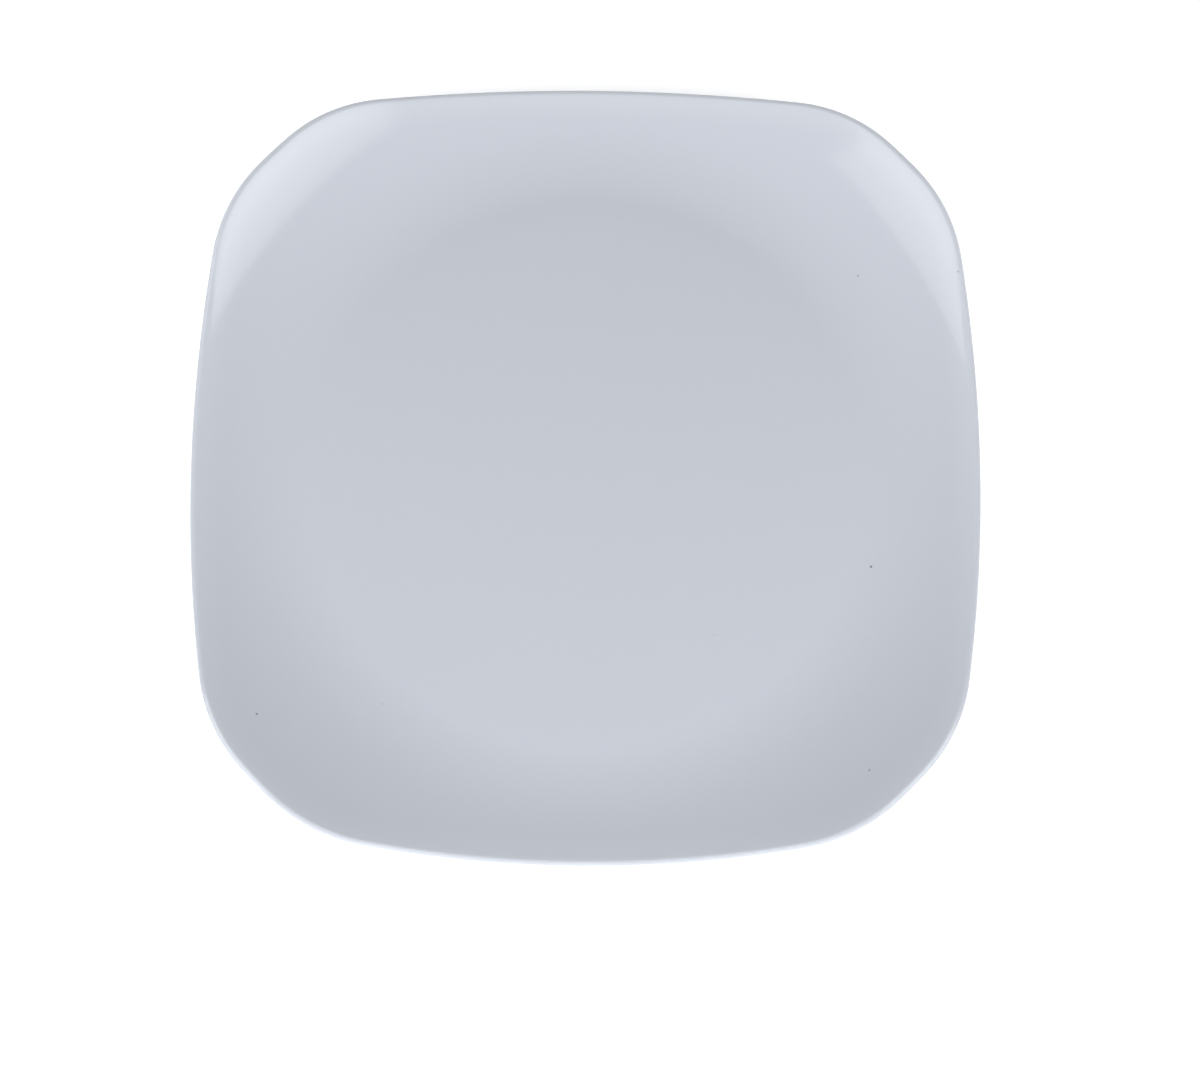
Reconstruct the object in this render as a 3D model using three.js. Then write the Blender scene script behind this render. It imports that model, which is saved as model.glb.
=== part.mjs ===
// A square coupe plate of glazed porcelain. One pressed body holds a round flat well, a brim that sweeps
// up towards the corners, and a foot ring below. A fired glaze covers all of it but the ring's bare tread,
// which parts the glaze in two: the coat over the plate, and the patch inside the ring.
// Millimetres, +Z up. The origin is the centre of the tread's plane, where the plate meets the table.

import * as THREE from "three";
import { mergeGeometries, mergeVertices } from "three/addons/utils/BufferGeometryUtils.js";

// Plan sizes
const PLATE_WIDTH = 260; // lip to lip across the middle of two sides
const SIDE_RADIUS = 430; // bow of each side
const SHOULDER_RADIUS = 58; // turn from a side into a corner
const CORNER_RADIUS = 210; // flatter bow across a corner, between its two shoulders
const CORNER_SETBACK = 35.5; // corner of the square round the plate in to the plate's own corner

// Section sizes, measured on the glazed plate
const BRIM_WIDTH = 12; // cove to lip, at the middle of a side
const BRIM_RADIUS = 145; // the brim steepens along this arc, so the corners stand highest
const COVE_WIDTH = 25.5; // plan width of the curve that turns the well up into the brim
const COVE_RADIUS = 76;
const WELL_THICKNESS = 4.6;
const LIP_THICKNESS = 2.8; // the lip is fully rounded
const FOOT_SETBACK = 10.5; // edge of the well in to the outside of the foot ring
const FOOT_HEIGHT = 2.8; // table up to the underside
const FOOT_FILLET = 1.5; // where the ring meets the underside
const TREAD_WIDTH = 2.2; // flat of the ring that stands on the table
const TREAD_ROUND = 0.8; // bare rounding of the tread's two edges, up to where the glaze was wiped off
const GLAZE = 0.3;

// Facets: sections round the plate, and steps along each curve of a section
const SECTIONS = 72;
const CORNER_CROWDING = 0.4; // how far the sections crowd towards the corners, where the outline turns most
const COVE_STEPS = 4;
const BRIM_STEPS = 3;
const LIP_STEPS = 6;
const UNDERSIDE_STEPS = 7;
const FILLET_STEPS = 2;

const QUARTER = Math.PI / 2;

// Places that follow from the sizes
const wellRadius = PLATE_WIDTH / 2 - BRIM_WIDTH - COVE_WIDTH;
const wellTop = FOOT_HEIGHT + WELL_THICKNESS;
const footOutside = wellRadius - FOOT_SETBACK;
const footInside = footOutside - TREAD_WIDTH - 2 * (TREAD_ROUND + GLAZE);
const footFillet = Math.min(FOOT_FILLET, FOOT_HEIGHT - TREAD_ROUND - GLAZE);
const coveAngle = Math.asin(COVE_WIDTH / COVE_RADIUS);
const coveCentre = new THREE.Vector2(wellRadius, wellTop + COVE_RADIUS);
const brimCentre = onArc(coveCentre, COVE_RADIUS - BRIM_RADIUS, coveAngle);
const sideLipAngle = lipAngle(PLATE_WIDTH / 2);
const sideCentre = new THREE.Vector2(PLATE_WIDTH / 2 - SIDE_RADIUS, 0);
const cornerOffset = PLATE_WIDTH / 2 - (CORNER_SETBACK + CORNER_RADIUS) / Math.SQRT2;
const cornerCentre = new THREE.Vector2(cornerOffset, cornerOffset);
const shoulderCentre = insideBoth(sideCentre, SIDE_RADIUS, cornerCentre, CORNER_RADIUS, SHOULDER_RADIUS);

// Arcs of an eighth of the plan outline, each with the azimuth where it meets the next, up to the diagonal
const outline = [
  { centre: sideCentre, radius: SIDE_RADIUS, end: shoulderMeets(sideCentre, SIDE_RADIUS) },
  { centre: shoulderCentre, radius: SHOULDER_RADIUS, end: shoulderMeets(cornerCentre, CORNER_RADIUS) },
  { centre: cornerCentre, radius: CORNER_RADIUS, end: QUARTER },
];

// The point of an arc where a surface on it has this slope: 0 is the bottom of the arc.
function onArc(centre, radius, slope) {
  return new THREE.Vector2(Math.sin(slope), -Math.cos(slope)).multiplyScalar(radius).add(centre);
}

// Points along an arc between two angles from the +X axis, the short way round.
function arc(centre, radius, from, to, steps) {
  return new THREE.EllipseCurve(centre.x, centre.y, radius, radius, from, to, to < from).getPoints(steps);
}

// Slope of the brim at the lip, where the lip's outermost point has this radius from the plate's axis.
function lipAngle(outerRadius) {
  const roundCentre = outerRadius - LIP_THICKNESS / 2;
  return Math.asin((roundCentre - brimCentre.x) / (BRIM_RADIUS + LIP_THICKNESS / 2));
}

// Centre of a small circle that touches two larger ones from inside, to the left of the line between them.
function insideBoth(first, firstRadius, second, secondRadius, radius) {
  const between = second.clone().sub(first);
  const [toFirst, toSecond, apart] = [firstRadius - radius, secondRadius - radius, between.length()];
  const turn = Math.acos((toFirst ** 2 + apart ** 2 - toSecond ** 2) / (2 * toFirst * apart));
  return between.setLength(toFirst).rotateAround(new THREE.Vector2(), turn).add(first);
}

// Azimuth where the shoulder's arc runs into another arc of the outline.
function shoulderMeets(centre, radius) {
  return shoulderCentre.clone().sub(centre).setLength(radius).add(centre).angle();
}

// Radius of the plan outline at an azimuth: four bowed sides, and four flat corners between tangent shoulders.
function outlineRadius(azimuth) {
  const fromSide = Math.abs(azimuth - Math.round(azimuth / QUARTER) * QUARTER);
  const { centre, radius } = outline.find(({ end }) => fromSide < end);
  const along = new THREE.Vector2(Math.cos(fromSide), Math.sin(fromSide)).dot(centre);
  return along + Math.sqrt(radius ** 2 - centre.lengthSq() + along ** 2);
}

// Underside of the brim and cove, from the lip in to the well. The wall eases thicker along it.
function underside(depth) {
  const coveLength = COVE_RADIUS * coveAngle;
  const length = coveLength + BRIM_RADIUS * (sideLipAngle - coveAngle);
  return Array.from({ length: UNDERSIDE_STEPS + 1 }, (_, step) => {
    const along = length * (1 - step / UNDERSIDE_STEPS);
    const ease = (1 + Math.cos((Math.PI * along) / length)) / 2;
    const thickness = LIP_THICKNESS + (WELL_THICKNESS - LIP_THICKNESS) * ease - depth;
    return along > coveLength
      ? onArc(brimCentre, BRIM_RADIUS + thickness, coveAngle + (along - coveLength) / BRIM_RADIUS)
      : onArc(coveCentre, COVE_RADIUS + thickness, along / COVE_RADIUS);
  });
}

// Section at the middle of a side, from the axis over the well and lip to the glaze line outside the foot
// ring. Depth is how far below the glaze's surface it runs: 0 is the glaze itself, GLAZE the body.
function upperSection(depth) {
  const lipRound = LIP_THICKNESS / 2;
  const lipCentre = onArc(brimCentre, BRIM_RADIUS + lipRound, sideLipAngle);
  const [lipStart, lipEnd] = [sideLipAngle + QUARTER, sideLipAngle - QUARTER];
  const filletCentre = new THREE.Vector2(footOutside + footFillet, FOOT_HEIGHT - footFillet);
  return [
    new THREE.Vector2(0, wellTop - depth),
    ...arc(coveCentre, COVE_RADIUS + depth, -QUARTER, coveAngle - QUARTER, COVE_STEPS),
    ...arc(brimCentre, BRIM_RADIUS + depth, coveAngle - QUARTER, lipEnd, BRIM_STEPS).slice(1),
    ...arc(lipCentre, lipRound - depth, lipStart, lipEnd, LIP_STEPS).slice(1),
    ...underside(depth).slice(1),
    ...arc(filletCentre, footFillet + depth, QUARTER, Math.PI, FILLET_STEPS),
    new THREE.Vector2(footOutside - depth, TREAD_ROUND),
  ];
}

// Bare tread of the foot ring, between the two glaze lines.
function treadSection() {
  const outer = new THREE.Vector2(footOutside - GLAZE - TREAD_ROUND, TREAD_ROUND);
  const inner = new THREE.Vector2(footInside + GLAZE + TREAD_ROUND, TREAD_ROUND);
  return [
    ...arc(outer, TREAD_ROUND, 0, -QUARTER, FILLET_STEPS).slice(1),
    ...arc(inner, TREAD_ROUND, -QUARTER, -Math.PI, FILLET_STEPS).slice(0, -1),
  ];
}

// Underside within the foot ring, from the glaze line in to the axis.
function recessSection(depth) {
  const filletCentre = new THREE.Vector2(footInside - footFillet, FOOT_HEIGHT - footFillet);
  return [
    new THREE.Vector2(footInside + depth, TREAD_ROUND),
    ...arc(filletCentre, footFillet + depth, 0, QUARTER, FILLET_STEPS),
    new THREE.Vector2(0, FOOT_HEIGHT + depth),
  ];
}

// A point of the section, carried to another azimuth: the brim runs on round its arc until the lip lies on
// the plan outline. So the brim stays one surface of revolution, and rises most at the corners.
function carried(point, azimuth) {
  const slope = Math.atan2(point.x - brimCentre.x, brimCentre.y - point.y);
  const share = THREE.MathUtils.clamp((slope - coveAngle) / (sideLipAngle - coveAngle), 0, 1);
  const turn = share * (lipAngle(outlineRadius(azimuth)) - sideLipAngle);
  return point.clone().rotateAround(brimCentre, turn);
}

// Surface swept by a section once round the plate's axis.
function spun(section) {
  const profile = section.toReversed();
  const geometry = new THREE.LatheGeometry(profile, SECTIONS);
  geometry.deleteAttribute("normal").deleteAttribute("uv");
  const position = geometry.getAttribute("position");
  for (let i = 0; i < position.count; i += 1) {
    const even = (Math.floor(i / profile.length) % SECTIONS) * ((4 * QUARTER) / SECTIONS);
    const azimuth = even + (CORNER_CROWDING / 4) * Math.sin(4 * even);
    const { x: radius, y: height } = carried(profile[i % profile.length], azimuth);
    position.setXYZ(i, radius * Math.cos(azimuth), radius * Math.sin(azimuth), height);
  }
  return geometry;
}

// The same surface seen from its other side.
function turnedOver(geometry) {
  geometry.index.array.reverse();
  return geometry;
}

// One named piece from surfaces that close on each other.
function piece(name, surfaces, material) {
  const mesh = new THREE.Mesh(mergeVertices(mergeGeometries(surfaces)), material);
  mesh.name = name;
  return mesh;
}

// A coat of glaze between the glaze's surface and the body's, closed along its edge.
function coat(name, section, edge, material) {
  const rim = [section(GLAZE), section(0)].map((points) => points.at(edge));
  const edgeStrip = edge < 0 ? rim.reverse() : rim;
  return piece(name, [spun(section(0)), turnedOver(spun(section(GLAZE))), spun(edgeStrip)], material);
}

const biscuit = new THREE.MeshStandardMaterial({ color: 0xe6e3dc, roughness: 0.85, metalness: 0 });
const whiteGlaze = new THREE.MeshStandardMaterial({ color: 0xdfe3ea, roughness: 0.15, metalness: 0 });

const bodySection = [...upperSection(GLAZE), ...treadSection(), ...recessSection(GLAZE)];
const plate = new THREE.Group();
plate.add(
  piece("porcelain_body", [spun(bodySection)], biscuit),
  coat("glaze_coat", upperSection, -1, whiteGlaze),
  coat("foot_recess_glaze", recessSection, 0, whiteGlaze),
);

export default plate;
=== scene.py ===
"""A square coupe plate of white glazed porcelain, seen from above on a white sweep between two soft boxes.

The plate is made the way a potter's profile tool makes one. A half section is drawn point by point, spun
round the axis, and the brim is then drawn out along its own curve to the square outline. Sizes are in
millimetres, as in the part's source, and each finished mesh is scaled to metres.
"""

import math

import bmesh
import bpy
from mathutils import Matrix, Quaternion, Vector


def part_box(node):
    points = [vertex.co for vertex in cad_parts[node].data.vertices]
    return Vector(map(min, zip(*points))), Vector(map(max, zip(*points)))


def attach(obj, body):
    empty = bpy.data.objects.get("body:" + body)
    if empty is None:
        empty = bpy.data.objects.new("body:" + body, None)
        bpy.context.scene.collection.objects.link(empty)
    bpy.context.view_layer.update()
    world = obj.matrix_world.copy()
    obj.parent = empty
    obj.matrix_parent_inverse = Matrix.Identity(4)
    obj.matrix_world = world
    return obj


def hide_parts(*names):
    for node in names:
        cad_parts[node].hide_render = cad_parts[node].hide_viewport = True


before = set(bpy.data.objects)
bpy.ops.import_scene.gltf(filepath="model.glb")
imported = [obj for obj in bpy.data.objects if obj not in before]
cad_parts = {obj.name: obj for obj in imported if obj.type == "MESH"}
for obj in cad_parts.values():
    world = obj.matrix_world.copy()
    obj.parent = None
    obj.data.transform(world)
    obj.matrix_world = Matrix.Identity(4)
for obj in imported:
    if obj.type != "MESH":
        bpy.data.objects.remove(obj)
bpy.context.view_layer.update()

MM = 0.001
QUARTER = math.pi / 2

# Plan of the plate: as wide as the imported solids, with bowed sides, and flat corners between shoulders
coat_low, coat_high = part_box("glaze_coat")
PLATE_WIDTH = (coat_high.x - coat_low.x) / MM
SIDE_RADIUS = 430.0
SHOULDER_RADIUS = 58.0
CORNER_RADIUS = 210.0
CORNER_SETBACK = 35.5  # corner of the square round the plate in to the plate's own corner

# Section of the plate, measured on the glaze
BRIM_WIDTH = 12.0
BRIM_RADIUS = 145.0
COVE_WIDTH = 25.5
COVE_RADIUS = 76.0
WELL_THICKNESS = 4.6
WELL_CROWN = 0.2  # how much the firing lifts the middle of the well
CROWN_EDGE = 5.5  # the crown runs out this far to either side of the well's edge
LIP_THICKNESS = 2.8
FOOT_SETBACK = 10.5
FOOT_HEIGHT = 2.8
FOOT_FILLET = 1.5
TREAD_WIDTH = 2.2
TREAD_ROUND = 0.8
GLAZE = 0.3
GLAZE_EDGE = 0.2  # the melted glaze rounds off where it was wiped from the foot ring

# Steps of each curve
ROUND_STEPS = 288
WELL_STEPS = 24
COVE_STEPS = 16
BRIM_STEPS = 12
LIP_STEPS = 14
UNDERSIDE_STEPS = 24
FILLET_STEPS = 6
GLAZE_EDGE_STEPS = 3

MERGE = 0.001  # points nearer to each other than this are one
SMOOTH_ANGLE = math.radians(40)  # an edge that turns further than this is drawn sharp


def on_arc(centre, radius, slope):
    """The point of an arc where a surface on it has this slope; 0 is the bottom of the arc."""
    return centre + radius * Vector((math.sin(slope), -math.cos(slope)))


def lip_slope(outer_radius):
    """Slope of the brim at the lip, where the lip's outermost point is this far from the axis."""
    reach = outer_radius - LIP_THICKNESS / 2 - brim_centre.x
    return math.asin(reach / (BRIM_RADIUS + LIP_THICKNESS / 2))


def inside_both(first, first_radius, second, second_radius, radius):
    """Centre of a small circle that touches two larger ones from inside, left of the line between them."""
    between = second - first
    to_first = first_radius - radius
    to_second = second_radius - radius
    apart = between.length
    turn = math.acos((to_first ** 2 + apart ** 2 - to_second ** 2) / (2 * to_first * apart))
    return first + Matrix.Rotation(turn, 2) @ between * (to_first / apart)


def shoulder_meets(centre, radius):
    """Azimuth where the shoulder's arc runs into another arc of the outline."""
    touch = centre + (shoulder_centre - centre).normalized() * radius
    return math.atan2(touch.y, touch.x)


def outline_radius(azimuth):
    """Distance from the axis to the plan outline: a side, a shoulder or a corner's flat, by the azimuth."""
    from_side = abs(azimuth - round(azimuth / QUARTER) * QUARTER)
    centre, radius = side_centre, SIDE_RADIUS
    if from_side > side_end:
        centre, radius = shoulder_centre, SHOULDER_RADIUS
    if from_side > shoulder_end:
        centre, radius = corner_centre, CORNER_RADIUS
    along = Vector((math.cos(from_side), math.sin(from_side))).dot(centre)
    return along + math.sqrt(radius ** 2 - centre.length_squared + along ** 2)


# Places that follow from the sizes, as (distance from the axis, height)
well_radius = PLATE_WIDTH / 2 - BRIM_WIDTH - COVE_WIDTH
well_top = FOOT_HEIGHT + WELL_THICKNESS
foot_outside = well_radius - FOOT_SETBACK
foot_inside = foot_outside - TREAD_WIDTH - 2 * (TREAD_ROUND + GLAZE)
cove_slope = math.asin(COVE_WIDTH / COVE_RADIUS)
cove_centre = Vector((well_radius, well_top + COVE_RADIUS))
brim_centre = on_arc(cove_centre, COVE_RADIUS - BRIM_RADIUS, cove_slope)
side_lip_slope = lip_slope(PLATE_WIDTH / 2)

# Arcs of an eighth of the outline, from the middle of a side to a corner's diagonal
corner_offset = PLATE_WIDTH / 2 - (CORNER_SETBACK + CORNER_RADIUS) / math.sqrt(2)
corner_centre = Vector((corner_offset, corner_offset))
side_centre = Vector((PLATE_WIDTH / 2 - SIDE_RADIUS, 0))
shoulder_centre = inside_both(side_centre, SIDE_RADIUS, corner_centre, CORNER_RADIUS, SHOULDER_RADIUS)
side_end = shoulder_meets(side_centre, SIDE_RADIUS)
shoulder_end = shoulder_meets(corner_centre, CORNER_RADIUS)


class HalfSection:
    """A half section of the plate, drawn in the XZ plane from its tip onwards."""

    def __init__(self):
        self.mesh = bmesh.new()
        self.tip = None

    def line(self, radius, height):
        """Draws a straight line to this place, or starts there."""
        if self.tip is None:
            self.tip = self.mesh.verts.new((radius, 0, height))
            return
        drawn = bmesh.ops.extrude_vert_indiv(self.mesh, verts=[self.tip])
        self.tip = drawn["verts"][0]
        self.tip.co = (radius, 0, height)

    def arc(self, centre, turn, steps):
        """Carries on along an arc about this centre, anticlockwise for a positive turn."""
        drawn = bmesh.ops.spin(
            self.mesh,
            geom=[self.tip],
            cent=(centre.x, 0, centre.y),
            axis=(0, -1, 0),
            angle=turn,
            steps=steps,
        )
        self.tip = [part for part in drawn["geom_last"] if isinstance(part, bmesh.types.BMVert)][0]


def crown(radius):
    """How far the well's crown lifts the upper side at this distance from the axis."""
    share = min(max((radius - well_radius) / (2 * CROWN_EDGE) + 0.5, 0), 1)
    return WELL_CROWN * (1 - share ** 2 * (3 - 2 * share))


def draw_upper(section, depth):
    """From the axis over the well, brim and lip, and back below to the glaze line outside the foot ring.
    Depth is how far under the glaze's surface the line runs."""
    for step in range(WELL_STEPS + 1):
        section.line(well_radius * math.sqrt(step / WELL_STEPS), well_top - depth)
    section.arc(cove_centre, cove_slope, COVE_STEPS)
    for vert in section.mesh.verts:
        vert.co.z += crown(vert.co.x)
    section.arc(brim_centre, side_lip_slope - cove_slope, BRIM_STEPS)
    section.arc(on_arc(brim_centre, BRIM_RADIUS + LIP_THICKNESS / 2, side_lip_slope), -math.pi, LIP_STEPS)
    cove_length = COVE_RADIUS * cove_slope
    length = cove_length + BRIM_RADIUS * (side_lip_slope - cove_slope)
    for step in range(1, UNDERSIDE_STEPS + 1):
        along = length * (1 - step / UNDERSIDE_STEPS)
        ease = (1 + math.cos(math.pi * along / length)) / 2
        thickness = LIP_THICKNESS + (WELL_THICKNESS - LIP_THICKNESS) * ease - depth
        if along > cove_length:
            slope = cove_slope + (along - cove_length) / BRIM_RADIUS
            place = on_arc(brim_centre, BRIM_RADIUS + thickness, slope)
        else:
            place = on_arc(cove_centre, COVE_RADIUS + thickness, along / COVE_RADIUS)
        section.line(place.x, place.y)
    fillet_centre = Vector((foot_outside + FOOT_FILLET, FOOT_HEIGHT - FOOT_FILLET))
    section.line(fillet_centre.x, FOOT_HEIGHT + depth)
    section.arc(fillet_centre, QUARTER, FILLET_STEPS)
    section.line(foot_outside - depth, TREAD_ROUND)


def draw_tread(section):
    """The bare tread of the foot ring, from one glaze line to the other."""
    section.arc(Vector((foot_outside - GLAZE - TREAD_ROUND, TREAD_ROUND)), -QUARTER, FILLET_STEPS)
    section.line(foot_inside + GLAZE + TREAD_ROUND, 0)
    section.arc(Vector((foot_inside + GLAZE + TREAD_ROUND, TREAD_ROUND)), -QUARTER, FILLET_STEPS)


def draw_recess(section, depth):
    """The underside within the foot ring, from the glaze line in to the axis."""
    fillet_centre = Vector((foot_inside - FOOT_FILLET, FOOT_HEIGHT - FOOT_FILLET))
    section.line(foot_inside + depth, TREAD_ROUND)
    section.line(foot_inside + depth, fillet_centre.y)
    section.arc(fillet_centre, QUARTER, FILLET_STEPS)
    for step in range(1, WELL_STEPS + 1):
        section.line(fillet_centre.x * (1 - step / WELL_STEPS), FOOT_HEIGHT + depth)


def draw_out_brim(mesh):
    """Draws the brim out along its own curve until the lip lies on the square outline, so that it stays one
    surface of revolution and the corners stand highest. Notes how far each point lies from the lip."""
    from_lip = mesh.verts.layers.float.new("from_lip")
    for vert in mesh.verts:
        azimuth = math.atan2(vert.co.y, vert.co.x)
        arm = Vector((vert.co.xy.length, vert.co.z)) - brim_centre
        slope = math.atan2(arm.x, -arm.y)
        share = min(max((slope - cove_slope) / (side_lip_slope - cove_slope), 0), 1)
        brim_slopes = lip_slope(outline_radius(azimuth)) - cove_slope
        arm.rotate(Matrix.Rotation(share * (brim_slopes + cove_slope - side_lip_slope), 2))
        place = brim_centre + arm
        vert.co = (place.x * math.cos(azimuth), place.x * math.sin(azimuth), place.y)
        vert[from_lip] = (1 - share) * BRIM_RADIUS * brim_slopes


def turned(section):
    """Spins a half section once round the plate's axis and draws its brim out."""
    mesh = section.mesh
    bmesh.ops.spin(
        mesh,
        geom=mesh.verts[:] + mesh.edges[:],
        cent=(0, 0, 0),
        axis=(0, 0, 1),
        angle=2 * math.pi,
        steps=ROUND_STEPS,
        use_merge=True,
    )
    bmesh.ops.remove_doubles(mesh, verts=mesh.verts[:], dist=MERGE)
    draw_out_brim(mesh)
    bmesh.ops.recalc_face_normals(mesh, faces=mesh.faces[:])
    return mesh


def on_glaze_line(vert, radius):
    """Whether a point lies on the glaze line that runs round the foot ring at this radius."""
    return abs(vert.co.z - TREAD_ROUND) < MERGE and abs(vert.co.xy.length - radius) < MERGE


def thicken(mesh, radius):
    """Gives a surface of glaze its thickness, and rounds its free edge on the glaze line at this radius."""
    bmesh.ops.solidify(mesh, geom=mesh.faces[:], thickness=GLAZE)
    free_edge = [edge for edge in mesh.edges if all(on_glaze_line(vert, radius) for vert in edge.verts)]
    bmesh.ops.bevel(
        mesh,
        geom=free_edge,
        offset=GLAZE_EDGE,
        affect="EDGES",
        segments=GLAZE_EDGE_STEPS,
        profile=0.5,
        material=-1,
    )


def finished(name, mesh, material, cad_node):
    """Makes a mesh a piece of the plate, in metres, that stands for a CAD node."""
    bmesh.ops.scale(mesh, vec=(MM, MM, MM), verts=mesh.verts[:])
    data = bpy.data.meshes.new(name)
    mesh.to_mesh(data)
    mesh.free()
    data.shade_smooth()
    data.set_sharp_from_angle(angle=SMOOTH_ANGLE)
    data.materials.append(material)
    piece = bpy.data.objects.new(name, data)
    bpy.context.scene.collection.objects.link(piece)
    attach(piece, "root")
    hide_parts(cad_node)


def make_body(biscuit):
    """The pressed body: one closed surface, bare on the tread and a glaze's depth under it elsewhere."""
    section = HalfSection()
    draw_upper(section, GLAZE)
    draw_tread(section)
    draw_recess(section, GLAZE)
    finished("body", turned(section), biscuit, "porcelain_body")


def make_coat(glaze):
    """The glaze over the plate, down to the glaze line outside the foot ring."""
    section = HalfSection()
    draw_upper(section, 0)
    coat = turned(section)
    thicken(coat, foot_outside)
    finished("coat", coat, glaze, "glaze_coat")


def make_recess_patch(glaze):
    """The patch of glaze inside the foot ring, which faces down."""
    section = HalfSection()
    draw_recess(section, 0)
    patch = turned(section)
    bmesh.ops.reverse_faces(patch, faces=patch.faces[:])
    thicken(patch, foot_inside)
    finished("recess_patch", patch, glaze, "foot_recess_glaze")


def colour(hex_value):
    """An sRGB hex colour as linear RGBA."""
    channels = [int(hex_value[start:start + 2], 16) / 255 for start in (1, 3, 5)]
    curve = [c / 12.92 if c <= 0.04045 else ((c + 0.055) / 1.055) ** 2.4 for c in channels]
    return (*curve, 1.0)


def per_metre(size):
    """The scale at which a pattern's features come out this many millimetres apart."""
    return 1 / (size * MM)


def node(tree, kind, inputs=None, **settings):
    """Adds a node. Each input is a value, or the output that it is linked to."""
    made = tree.nodes.new("ShaderNode" + kind)
    for name, value in settings.items():
        setattr(made, name, value)
    for name, value in (inputs or {}).items():
        if isinstance(value, bpy.types.NodeSocket):
            tree.links.new(value, made.inputs[name])
        else:
            made.inputs[name].default_value = value
    return made


def new_material(name):
    """An empty node material and its tree."""
    material = bpy.data.materials.new(name)
    material.use_nodes = True
    material.node_tree.nodes.clear()
    return material, material.node_tree


# Glaze. A clear feldspar glaze over white porcelain, dipped and fired to a glass. To the eye it is a cool
# white with a wet gloss. It lies in soft clouds, a shade deeper and less glossy where it pooled. Near the
# lip it is a shade brighter, partly because it runs thin there and partly as painted light that
# brightens the brim. It keeps the faint waves of the melt and a few dark pin specks of iron.
GLAZE_COLOUR = "#CBCFD9"
GLAZE_POOLED = "#C9CED8"
# Painted light: a shade brighter than the glaze, used near the lip for thin glaze and for painted light on
# the brim
GLAZE_THIN_AND_LIT = "#CED3DC"
GLAZE_SPECK = "#4A4C50"
GLAZE_IOR = 1.47
GLAZE_ROUGHNESS = (0.06, 0.09)
GLAZE_CLOUD = 70.0  # spacing of the clouds
GLAZE_CLOUD_DETAIL = 2.0
GLAZE_WAVE = 9.0  # spacing of the melt's waves
GLAZE_WAVE_DETAIL = 1.0
GLAZE_WAVE_HEIGHT = 0.004
GLAZE_THIN_AND_LIT_WIDTH = 10.0  # how far in from the lip the thin glaze and its painted light reach

# Specks on the upper side: place from the plate's middle, radius, and how dark
SPECKS = (
    (90.8, 67.4, 0.45, 0.45),
    (122.8, 66.0, 0.45, 0.40),
    (-105.6, -82.1, 0.45, 0.75),
    (94.3, -31.0, 0.45, 0.90),
    (91.7, -99.0, 0.45, 0.50),
    (-66.1, -77.5, 0.60, 0.12),
    (42.5, -54.0, 0.60, 0.10),
)
SPECK_CORE = 0.5  # share of a speck's radius before it starts to fade


def upper_side(x, y):
    """The point of the plate's upper side above this place of the plan."""
    radius = math.hypot(x, y)
    if radius <= well_radius:
        return Vector((x, y, well_top + crown(radius)))
    if radius <= well_radius + COVE_WIDTH:
        drop = math.sqrt(COVE_RADIUS ** 2 - (radius - cove_centre.x) ** 2)
        return Vector((x, y, cove_centre.y - drop + crown(radius)))
    drop = math.sqrt(BRIM_RADIUS ** 2 - (radius - brim_centre.x) ** 2)
    return Vector((x, y, brim_centre.y - drop))


def make_glaze():
    """The glaze's material, for pieces that carry the distance from the lip."""
    material, tree = new_material("feldspar_glaze")
    place = node(tree, "TexCoord").outputs["Object"]
    clouds = node(
        tree,
        "TexNoise",
        {"Vector": place, "Scale": per_metre(GLAZE_CLOUD), "Detail": GLAZE_CLOUD_DETAIL},
    )
    tint = node(
        tree,
        "MixRGB",
        {"Fac": clouds.outputs["Fac"], "Color1": colour(GLAZE_COLOUR), "Color2": colour(GLAZE_POOLED)},
    )
    # Painted light: near the lip the colour is mixed towards a brighter one, partly for thin glaze and
    # partly as painted light on the brim
    from_lip = node(tree, "Attribute", attribute_name="from_lip", attribute_type="GEOMETRY")
    thin_and_lit = node(
        tree,
        "MapRange",
        {"Value": from_lip.outputs["Fac"], "From Max": GLAZE_THIN_AND_LIT_WIDTH, "To Min": 1.0, "To Max": 0.0},
        interpolation_type="SMOOTHSTEP",
    )
    tint = node(
        tree,
        "MixRGB",
        {"Fac": thin_and_lit.outputs["Result"], "Color1": tint.outputs["Color"], "Color2": colour(GLAZE_THIN_AND_LIT)},
    )
    for x, y, radius, darkness in SPECKS:
        away = node(tree, "VectorMath", {0: place, 1: upper_side(x, y) * MM}, operation="DISTANCE")
        speck = node(
            tree,
            "MapRange",
            {
                "Value": away.outputs["Value"],
                "From Min": SPECK_CORE * radius * MM,
                "From Max": radius * MM,
                "To Min": darkness,
                "To Max": 0.0,
            },
        )
        tint = node(
            tree,
            "MixRGB",
            {
                "Fac": speck.outputs["Result"],
                "Color1": tint.outputs["Color"],
                "Color2": colour(GLAZE_SPECK),
            },
        )
    gloss = node(
        tree,
        "MapRange",
        {"Value": clouds.outputs["Fac"], "To Min": GLAZE_ROUGHNESS[0], "To Max": GLAZE_ROUGHNESS[1]},
    )
    waves = node(
        tree,
        "TexNoise",
        {"Vector": place, "Scale": per_metre(GLAZE_WAVE), "Detail": GLAZE_WAVE_DETAIL},
    )
    relief = node(tree, "Bump", {"Height": waves.outputs["Fac"], "Distance": GLAZE_WAVE_HEIGHT * MM})
    shader = node(
        tree,
        "BsdfPrincipled",
        {
            "Base Color": tint.outputs["Color"],
            "Roughness": gloss.outputs["Result"],
            "IOR": GLAZE_IOR,
            "Normal": relief.outputs["Normal"],
        },
    )
    node(tree, "OutputMaterial", {"Surface": shader.outputs["BSDF"]})
    return material


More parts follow.
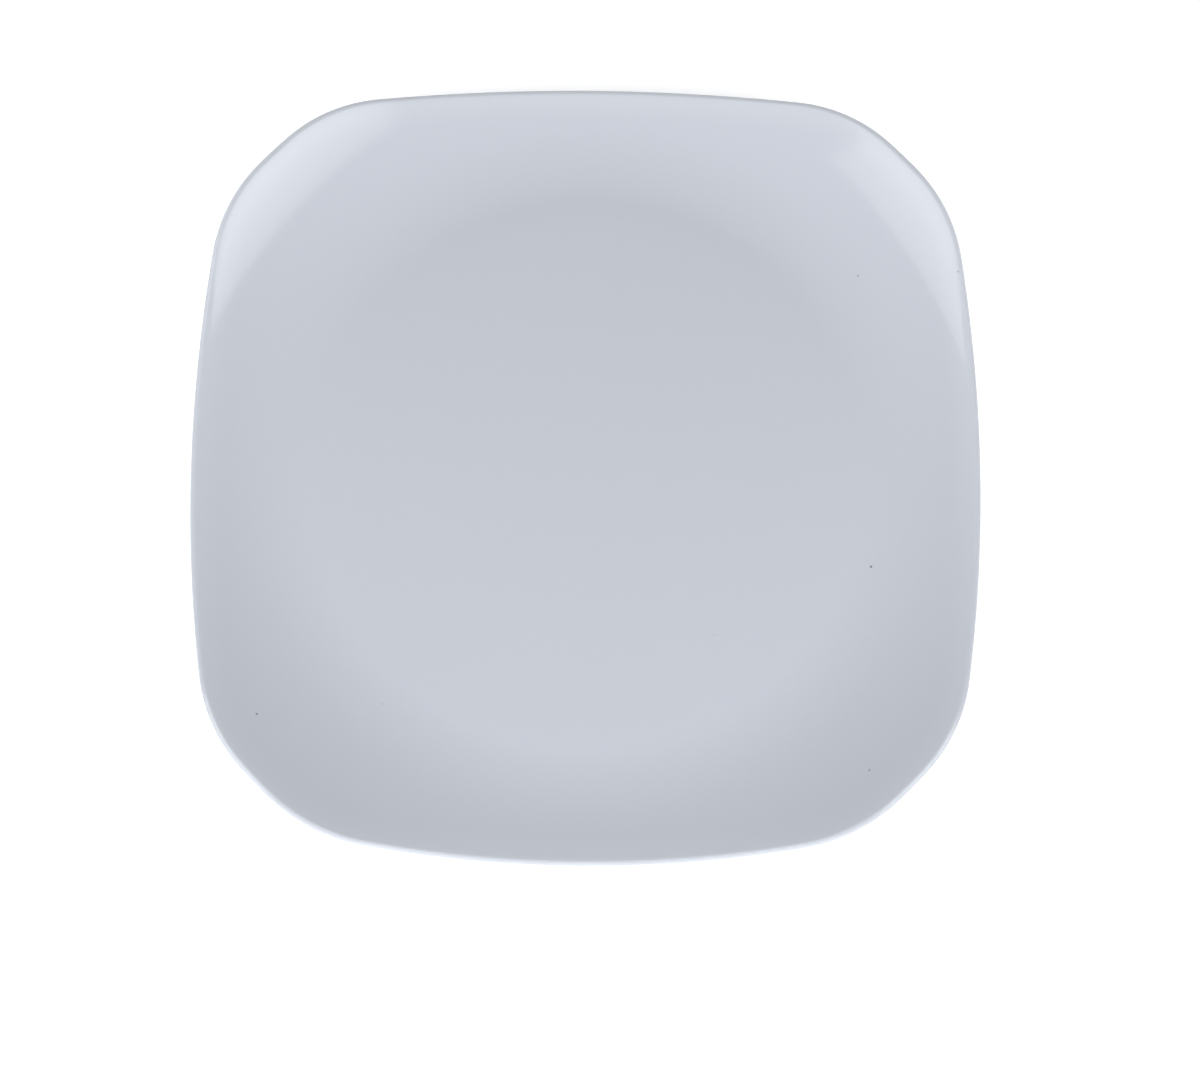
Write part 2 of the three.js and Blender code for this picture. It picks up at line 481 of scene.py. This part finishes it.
# Biscuit. The porcelain body itself, bare where the foot ring was wiped and then rubbed smooth after
# firing. To the eye it is a warm chalky white, matt, with a fine sugary grain. The grain is about 0.1 mm
# and too fine to show, so it is drawn at 0.6 mm.
BISCUIT_COLOUR = "#DED9CE"
BISCUIT_DARK = "#CCC5B8"
BISCUIT_ROUGHNESS = 0.8
BISCUIT_IOR = 1.5
BISCUIT_GRAIN = 0.6
BISCUIT_GRAIN_DETAIL = 2.0
BISCUIT_GRAIN_HEIGHT = 0.03
BISCUIT_STAIN = 14.0  # spacing of the darker patches left by the kiln shelf
BISCUIT_STAIN_DETAIL = 3.0


def make_biscuit():
    """The bare body's material."""
    material, tree = new_material("porcelain_biscuit")
    place = node(tree, "TexCoord").outputs["Object"]
    stain = node(
        tree,
        "TexNoise",
        {"Vector": place, "Scale": per_metre(BISCUIT_STAIN), "Detail": BISCUIT_STAIN_DETAIL},
    )
    grain = node(
        tree,
        "TexNoise",
        {"Vector": place, "Scale": per_metre(BISCUIT_GRAIN), "Detail": BISCUIT_GRAIN_DETAIL},
    )
    share = node(tree, "Math", {0: stain.outputs["Fac"], 1: grain.outputs["Fac"]}, operation="MULTIPLY")
    tint = node(
        tree,
        "MixRGB",
        {"Fac": share.outputs["Value"], "Color1": colour(BISCUIT_COLOUR), "Color2": colour(BISCUIT_DARK)},
    )
    relief = node(tree, "Bump", {"Height": grain.outputs["Fac"], "Distance": BISCUIT_GRAIN_HEIGHT * MM})
    shader = node(
        tree,
        "BsdfPrincipled",
        {
            "Base Color": tint.outputs["Color"],
            "Roughness": BISCUIT_ROUGHNESS,
            "IOR": BISCUIT_IOR,
            "Normal": relief.outputs["Normal"],
        },
    )
    node(tree, "OutputMaterial", {"Surface": shader.outputs["BSDF"]})
    return material


WHITE = (1.0, 1.0, 1.0, 1.0)


def looked_at(tree):
    """1 for a ray from the camera, off a gloss or through glass, and 0 for one that gathers light."""
    rays = node(tree, "LightPath").outputs
    sharp = node(tree, "Math", {0: rays["Is Camera Ray"], 1: rays["Is Glossy Ray"]}, operation="MAXIMUM")
    clear = {0: sharp.outputs["Value"], 1: rays["Is Transmission Ray"]}
    return node(tree, "Math", clear, operation="MAXIMUM").outputs["Value"]


# Sweep. White seamless paper, matt. It takes the plate's soft shadow, reads as white where the shadow
# doesn't fall, runs out into plain white away from the plate, and isn't there when seen from below. A
# little fill comes up through it to the plate's underside.
PAPER_COLOUR = "#E8E8E8"
PAPER_LIFT = 0.48  # glow that brings the lit paper up to white
PAPER_FILL = 0.32  # glow that lights the plate from below
PAPER_FADE = (220.0, 560.0)  # from here to here it turns plain white
PAPER_RADIUS = 4000.0
PAPER_BELOW = 0.05  # the paper gives a little under the tread
PAPER_SIDES = 96


def make_paper():
    """The sweep's material."""
    material, tree = new_material("seamless_paper")
    place = node(tree, "TexCoord").outputs["Object"]
    seen = looked_at(tree)
    lift = node(tree, "MapRange", {"Value": seen, "To Min": PAPER_FILL, "To Max": PAPER_LIFT})
    away = node(tree, "VectorMath", {0: place}, operation="LENGTH")
    fade = node(
        tree,
        "MapRange",
        {"Value": away.outputs["Value"], "From Min": PAPER_FADE[0] * MM, "From Max": PAPER_FADE[1] * MM},
        interpolation_type="SMOOTHSTEP",
    )
    far = node(tree, "Math", {0: fade.outputs["Result"], 1: seen}, operation="MULTIPLY")
    matt = node(tree, "BsdfDiffuse", {"Color": colour(PAPER_COLOUR)})
    lifted = node(tree, "Emission", {"Color": WHITE, "Strength": lift.outputs["Result"]})
    near = node(tree, "AddShader", {0: matt.outputs["BSDF"], 1: lifted.outputs["Emission"]})
    white = node(tree, "Emission", {"Color": WHITE, "Strength": 1.0})
    above = node(
        tree,
        "MixShader",
        {0: far.outputs["Value"], 1: near.outputs["Shader"], 2: white.outputs["Emission"]},
    )
    below = node(tree, "BsdfTransparent")
    under = node(tree, "NewGeometry").outputs["Backfacing"]
    paper = node(tree, "MixShader", {0: under, 1: above.outputs["Shader"], 2: below.outputs["BSDF"]})
    node(tree, "OutputMaterial", {"Surface": paper.outputs["Shader"]})
    return material


def make_sweep():
    """The paper that the plate stands on."""
    mesh = bmesh.new()
    bmesh.ops.create_circle(
        mesh,
        cap_ends=True,
        segments=PAPER_SIDES,
        radius=PAPER_RADIUS * MM,
        matrix=Matrix.Translation((0, 0, -PAPER_BELOW * MM)),
    )
    data = bpy.data.meshes.new("sweep")
    mesh.to_mesh(data)
    mesh.free()
    data.materials.append(make_paper())
    sweep = bpy.data.objects.new("sweep", data)
    bpy.context.scene.collection.objects.link(sweep)


# Room. White to whatever sees or mirrors it, and a little fill light to the rest.
ROOM_FILL = 0.22


def make_room():
    """The world round the sweep."""
    world = bpy.data.worlds.new("room")
    world.use_nodes = True
    tree = world.node_tree
    tree.nodes.clear()
    level = node(tree, "MapRange", {"Value": looked_at(tree), "To Min": ROOM_FILL, "To Max": 1.0})
    white = node(tree, "Background", {"Color": WHITE, "Strength": level.outputs["Result"]})
    node(tree, "OutputWorld", {"Surface": white.outputs["Background"]})
    bpy.context.scene.world = world


def looking(direction, roll):
    """Rotation of a lamp or a camera that looks this way, rolled by so many degrees."""
    turn = direction.to_track_quat("-Z", "Y") @ Quaternion((0, 0, 1), math.radians(roll))
    return turn.to_euler()


# Lamps. Two soft boxes stand to the left and right, a panel in front fills in, and low strips behind the
# plate light its far lip from outside. Each stands at an azimuth and elevation as seen from the plate, and
# a brightness of 1 is white. A box's cloth is brighter towards the back, fades out at its back and foot,
# and ends in an edge elsewhere.

# Soft boxes: name, direction, width, brightness, roll that lifts the front end, and where across the cloth
# the front side lies
BOXES = (
    ("soft_box_right", (-24.3, 39.4), 570.0, 4.70, -14.0, 0),
    ("soft_box_left", (193.2, 38.3), 587.0, 4.37, 15.5, 1),
)
BOX_HEIGHT = 700.0
BOX_DISTANCE = 846.0
BOX_LEAN = 0.37  # how far the level rises to the back of the cloth and falls to its front
BOX_BACK = 0.25  # share of the cloth's width over which the back fades
BOX_FOOT = 0.40  # share of its height over which the foot fades
BOX_KNEE = 0.765  # how far up the cloth starts to fall off
BOX_TOP = 0.40  # level that is left at the top edge

PANEL = (-98.0, 15.0)
PANEL_SIZE = (900.0, 500.0)
PANEL_DISTANCE = 900.0
PANEL_BRIGHTNESS = 2.90

STRIP_AZIMUTHS = (45.0, 90.0, 135.0)
STRIP_ELEVATION = 8.0
STRIP_SIZE = (160.0, 20.0)
STRIP_DISTANCE = 195.0
STRIP_BRIGHTNESS = 1.3


def make_lamp(name, direction, distance, size, brightness, roll=0.0, mirrored=False):
    """An area light that faces the plate. The camera doesn't see it, and the glaze mirrors it only on
    request."""
    turn, rise = (math.radians(angle) for angle in direction)
    towards = Vector((math.cos(turn) * math.cos(rise), math.sin(turn) * math.cos(rise), math.sin(rise)))
    width, height = size
    lamp = bpy.data.lights.new(name, "AREA")
    lamp.shape = "RECTANGLE"
    lamp.size = width * MM
    lamp.size_y = height * MM
    lamp.energy = math.pi * width * height * MM ** 2 * brightness
    stand = bpy.data.objects.new(name, lamp)
    stand.location = towards * distance * MM
    stand.rotation_euler = looking(-towards, roll)
    stand.visible_camera = False
    stand.visible_glossy = mirrored
    bpy.context.scene.collection.objects.link(stand)
    return lamp


def make_soft_box(name, direction, width, brightness, roll, front):
    """A lamp behind a cloth, which is the part that the glaze mirrors."""
    lamp = make_lamp(name, direction, BOX_DISTANCE, (width, BOX_HEIGHT), brightness, roll, mirrored=True)
    lamp.use_nodes = True
    tree = lamp.node_tree
    tree.nodes.clear()
    cloth = node(tree, "NewGeometry").outputs["Parametric"]
    across, up, _ = node(tree, "SeparateXYZ", {"Vector": cloth}).outputs
    back = 1 - front
    lean = node(
        tree,
        "MapRange",
        {
            "Value": across,
            "From Min": front,
            "From Max": back,
            "To Min": 1 - BOX_LEAN,
            "To Max": 1 + BOX_LEAN,
        },
    )
    behind = node(
        tree,
        "MapRange",
        {"Value": across, "From Min": back, "From Max": back + BOX_BACK * (front - back)},
        interpolation_type="SMOOTHSTEP",
    )
    foot = node(tree, "MapRange", {"Value": up, "From Max": BOX_FOOT}, interpolation_type="SMOOTHSTEP")
    top = node(tree, "MapRange", {"Value": up, "From Min": BOX_KNEE, "To Min": 1.0, "To Max": BOX_TOP})
    strength = 1.0
    for share in (lean, behind, foot, top):
        product = node(tree, "Math", {0: strength, 1: share.outputs["Result"]}, operation="MULTIPLY")
        strength = product.outputs["Value"]
    glow = node(tree, "Emission", {"Color": WHITE, "Strength": strength})
    node(tree, "OutputLight", {"Surface": glow.outputs["Emission"]})


def make_lamps():
    """All the lamps round the plate."""
    for box in BOXES:
        make_soft_box(*box)
    make_lamp("front_panel", PANEL, PANEL_DISTANCE, PANEL_SIZE, PANEL_BRIGHTNESS)
    for azimuth in STRIP_AZIMUTHS:
        direction = (azimuth, STRIP_ELEVATION)
        make_lamp(f"low_strip_{azimuth:.0f}", direction, STRIP_DISTANCE, STRIP_SIZE, STRIP_BRIGHTNESS)


# Camera. A long lens high in front of the plate.
EYE = Vector((0.0, -165.59, 853.25))
AIM = Vector((4.71, -21.923, 16.0))
ROLL = 2.24
LENS = 77.85
SENSOR_WIDTH = 36.0
NEAREST = 10.0  # what is nearer than this isn't drawn


def make_camera():
    """The camera, at the photograph's viewing angle."""
    data = bpy.data.cameras.new("camera")
    data.lens = LENS
    data.sensor_width = SENSOR_WIDTH
    data.clip_start = NEAREST * MM
    camera = bpy.data.objects.new("camera", data)
    camera.location = EYE * MM
    camera.rotation_euler = looking(AIM - EYE, ROLL)
    bpy.context.scene.collection.objects.link(camera)
    bpy.context.scene.camera = camera


make_camera()
glaze = make_glaze()
make_body(make_biscuit())
make_coat(glaze)
make_recess_patch(glaze)
make_sweep()
make_room()
make_lamps()

bpy.context.scene.view_settings.view_transform = "Standard"
